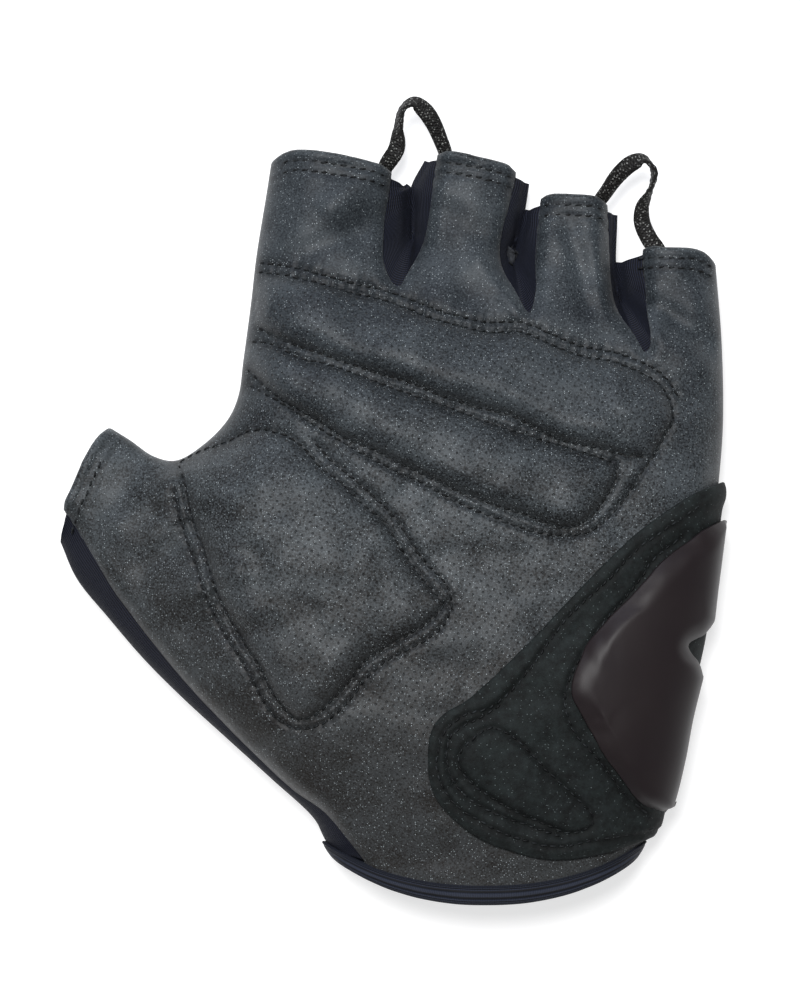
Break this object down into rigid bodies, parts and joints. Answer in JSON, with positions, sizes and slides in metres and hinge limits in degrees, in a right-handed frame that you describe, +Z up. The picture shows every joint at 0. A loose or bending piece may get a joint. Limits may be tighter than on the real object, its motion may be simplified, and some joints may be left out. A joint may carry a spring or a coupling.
{
  "type": "short-finger cycling glove",
  "caption": "Left-hand short-finger cycling glove lying palm up, with foam palm pads, a gel heel pad, finger gussets, pull loops and an elastic cuff.",
  "frame": {"origin": "on the resting surface under the middle of the palm, on the flat of the back panel", "axes": "+X from the thumb to the little finger, +Y from the cuff to the fingertips, +Z up through the palm"},
  "size_m": [0.1405, 0.1691, 0.0336],
  "materials": {
    "suede": "napped, perforated, fine speckle",
    "back_knit": "stretch knit",
    "rib_knit": "ribbed stretch knit",
    "foam": "open foam",
    "patch": "smooth synthetic leather",
    "gel": "gloss",
    "elastic": "ribbed elastic",
    "tape": "woven tape"
  },
  "bodies": {
    "root": {"palm_panel": "suede", "back_panel": "back_knit", "gusset_index_middle": "rib_knit", "gusset_middle_ring": "rib_knit", "gusset_ring_little": "rib_knit", "thumb_side_gusset": "rib_knit", "knuckle_pad": "foam", "palm_pad": "foam", "thenar_pad": "foam", "heel_patch": "patch", "gel_pad": "gel", "cuff_binding": "elastic", "pull_loop_middle": "tape", "pull_loop_little": "tape"}
  },
  "joints": []
}
